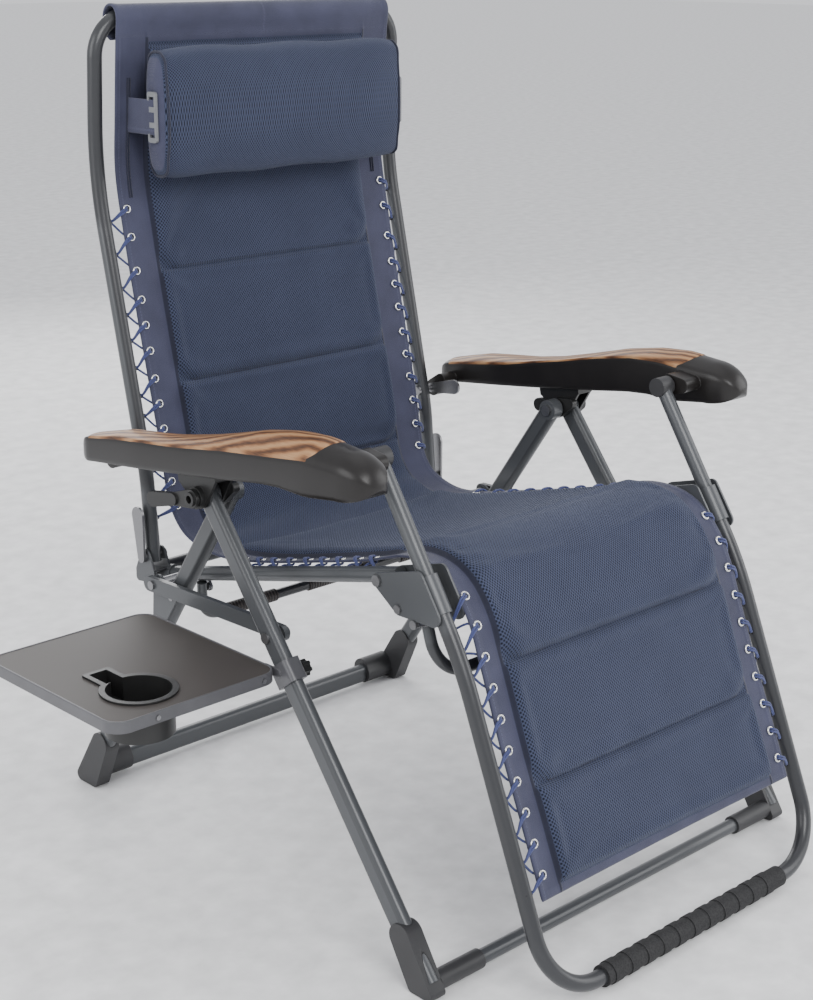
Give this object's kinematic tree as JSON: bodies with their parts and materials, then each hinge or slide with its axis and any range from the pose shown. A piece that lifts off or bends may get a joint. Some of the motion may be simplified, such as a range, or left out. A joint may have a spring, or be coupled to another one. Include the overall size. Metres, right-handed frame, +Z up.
{
  "type": "zero gravity recliner",
  "caption": "Padded zero gravity recliner: laced sling on a tube frame that reclines and folds, sliding armrests, headrest pillow and a clip-on side table with cup holder",
  "frame": {"origin": "on the floor, under the middle of the whole part's box, side table included, which is 112 mm to the right of the chair's own middle plane and 60 mm in front of the middle between its feet", "axes": "+Z up, the sitter faces -Y, +X is the sitter's left"},
  "size_m": [0.9608, 0.9086, 1.103],
  "materials": {
    "frame_paint": "satin powder coat, dark anthracite",
    "zinc": "zinc-plated pin and rivet",
    "foot_plastic": "moulded dark grey",
    "arm_plastic": "satin moulded brown-black",
    "arm_wood": "striped brown wood-look",
    "mesh_fabric": "padded 3-D air mesh, navy",
    "plain_fabric": "plain woven navy webbing",
    "cord": "navy elastic cord",
    "eyelet_metal": "bright nickel",
    "tray_plastic": "semi-gloss taupe grey",
    "tray_edge": "satin grey",
    "black_plastic": "black moulded",
    "grip_rubber": "textured dark foam rubber",
    "buckle_plastic": "grey moulded"
  },
  "bodies": {
    "front_legs": {"front_leg_left": "frame_paint", "front_leg_right": "frame_paint", "front_floor_bar": "frame_paint", "front_foot_left": "foot_plastic", "front_foot_right": "foot_plastic", "tray_rim": "tray_edge", "tray_top": "tray_plastic", "tray_cup_holder": "black_plastic", "tray_clamp": "tray_edge", "tray_screws": "zinc"},
    "rear_legs": {"rear_leg_left": "frame_paint", "rear_leg_right": "frame_paint", "rear_floor_bar": "frame_paint", "rear_foot_left": "foot_plastic", "rear_foot_right": "foot_plastic", "seat_pivot_plate_left": "frame_paint", "seat_pivot_plate_right": "frame_paint", "plate_rivets": "zinc"},
    "brace_stays": {"brace_stay_left": "frame_paint", "brace_stay_right": "frame_paint", "stay_rivets": "zinc"},
    "seat_pins": {"seat_pivot_pins": "zinc", "rear_u_bar": "frame_paint", "u_bar_sleeves": "black_plastic"},
    "seat": {"seat_frame": "frame_paint", "rear_hinge_bracket_left": "frame_paint", "rear_hinge_bracket_right": "frame_paint", "seat_sling": "mesh_fabric", "seat_eyelets": "eyelet_metal", "seat_lacing": "cord"},
    "back_pins": {"back_pivot_pins": "zinc"},
    "back": {"back_frame": "frame_paint", "back_sling": "mesh_fabric", "back_eyelets": "eyelet_metal", "back_lacing": "cord"},
    "headrest": {"headrest_pillow": "mesh_fabric", "pillow_strap": "plain_fabric", "pillow_buckles": "buckle_plastic"},
    "arm_pins": {"arm_rear_pins": "zinc"},
    "armrests": {"armrest_left": "arm_plastic", "armrest_right": "arm_plastic", "armrest_inlay_left": "arm_wood", "armrest_inlay_right": "arm_wood"},
    "knee_pins": {"knee_pivot_pins": "zinc"},
    "legrest": {"legrest_frame": "frame_paint", "legrest_grip": "grip_rubber", "legrest_end_caps": "foot_plastic", "knee_bracket_left": "frame_paint", "knee_bracket_right": "frame_paint", "knee_rivets": "zinc", "knee_u_bar": "frame_paint", "legrest_sling": "mesh_fabric", "legrest_eyelets": "eyelet_metal", "legrest_lacing": "cord"},
    "apex_pins": {"apex_pins": "zinc"},
    "carriages": {"slide_carriage_left": "black_plastic", "slide_carriage_right": "black_plastic"},
    "lever_left": {"lock_lever_left": "black_plastic"},
    "lever_right": {"lock_lever_right": "black_plastic"},
    "knob": {"tray_knob": "black_plastic"}
  },
  "joints": [
    {"name": "leg_fold", "type": "hinge", "parent": "front_legs", "child": "rear_legs", "pos_m": [0.112, 0.086, 0.524], "axis": [-1, 0, 0], "range_deg": [0, 53], "deforming": ["back_sling", "seat_sling", "legrest_sling", "headrest_pillow", "pillow_strap", "back_lacing", "seat_lacing", "legrest_lacing"]},
    {"name": "stay_fold", "type": "hinge", "parent": "front_legs", "child": "brace_stays", "pos_m": [0.112, -0.033, 0.37], "axis": [-1, 0, 0], "range_deg": [0, 37.57]},
    {"name": "seat_pin_fold", "type": "hinge", "parent": "rear_legs", "child": "seat_pins", "pos_m": [0.112, 0.232, 0.363], "axis": [-1, 0, 0], "range_deg": [0, 23.4]},
    {"name": "seat_tilt", "type": "hinge", "parent": "seat_pins", "child": "seat", "pos_m": [0.112, 0.232, 0.363], "axis": [-1, 0, 0], "range_deg": [0, 8.5]},
    {"name": "back_pin_fold", "type": "hinge", "parent": "seat", "child": "back_pins", "pos_m": [0.112, 0.306, 0.374], "axis": [1, 0, 0], "range_deg": [0, 56.76]},
    {"name": "back_recline", "type": "hinge", "parent": "back_pins", "child": "back", "pos_m": [0.112, 0.306, 0.374], "axis": [-1, 0, 0], "range_deg": [0, 42]},
    {"name": "arm_pin_fold", "type": "hinge", "parent": "back", "child": "arm_pins", "pos_m": [0.112, 0.321, 0.518], "axis": [-1, 0, 0], "range_deg": [0, 56.76]},
    {"name": "arm_swing", "type": "hinge", "parent": "arm_pins", "child": "armrests", "pos_m": [0.112, 0.321, 0.518], "axis": [1, 0, 0], "range_deg": [0, 42.1]},
    {"name": "knee_pin_fold", "type": "hinge", "parent": "seat", "child": "knee_pins", "pos_m": [0.112, -0.161, 0.462], "axis": [1, 0, 0], "range_deg": [0, 56.76]},
    {"name": "knee_swing", "type": "hinge", "parent": "knee_pins", "child": "legrest", "pos_m": [0.112, -0.161, 0.462], "axis": [-1, 0, 0], "range_deg": [0, 42.1]},
    {"name": "apex_pin_fold", "type": "hinge", "parent": "front_legs", "child": "apex_pins", "pos_m": [0.112, 0.086, 0.524], "axis": [-1, 0, 0], "range_deg": [0, 76.5]},
    {"name": "carriage_tilt", "type": "hinge", "parent": "apex_pins", "child": "carriages", "pos_m": [0.112, 0.086, 0.524], "axis": [-1, 0, 0], "range_deg": [0, 8.5]},
    {"name": "lever_left_turn", "type": "hinge", "parent": "carriages", "child": "lever_left", "pos_m": [0.112, 0.086, 0.524], "axis": [-1, 0, 0], "range_deg": [0, 24]},
    {"name": "lever_right_turn", "type": "hinge", "parent": "carriages", "child": "lever_right", "pos_m": [0.112, 0.086, 0.524], "axis": [-1, 0, 0], "range_deg": [0, 24]},
    {"name": "headrest_slide", "type": "slide", "parent": "back", "child": "headrest", "axis": [0, 0, -1], "range_m": [0, 0.1]},
    {"name": "knob_turn", "type": "hinge", "parent": "front_legs", "child": "knob", "pos_m": [-0.223, -0.0642, 0.3314], "axis": [1, 0, 0], "range_deg": [0, 360]}
  ],
  "couplings": [
    {"joint": "stay_fold", "follows": "leg_fold", "ratio": 0.7069},
    {"joint": "seat_pin_fold", "follows": "leg_fold", "ratio": 0.43966},
    {"joint": "back_pin_fold", "follows": "leg_fold", "ratio": 1.069},
    {"joint": "arm_pin_fold", "follows": "leg_fold", "ratio": 1.069},
    {"joint": "knee_pin_fold", "follows": "leg_fold", "ratio": 1.069},
    {"joint": "apex_pin_fold", "follows": "leg_fold", "ratio": 1.4397},
    {"joint": "seat_tilt", "follows": "back_recline", "ratio": 0.2},
    {"joint": "arm_swing", "follows": "back_recline", "ratio": 1},
    {"joint": "knee_swing", "follows": "back_recline", "ratio": 1},
    {"joint": "carriage_tilt", "follows": "back_recline", "ratio": 0.2}
  ]
}
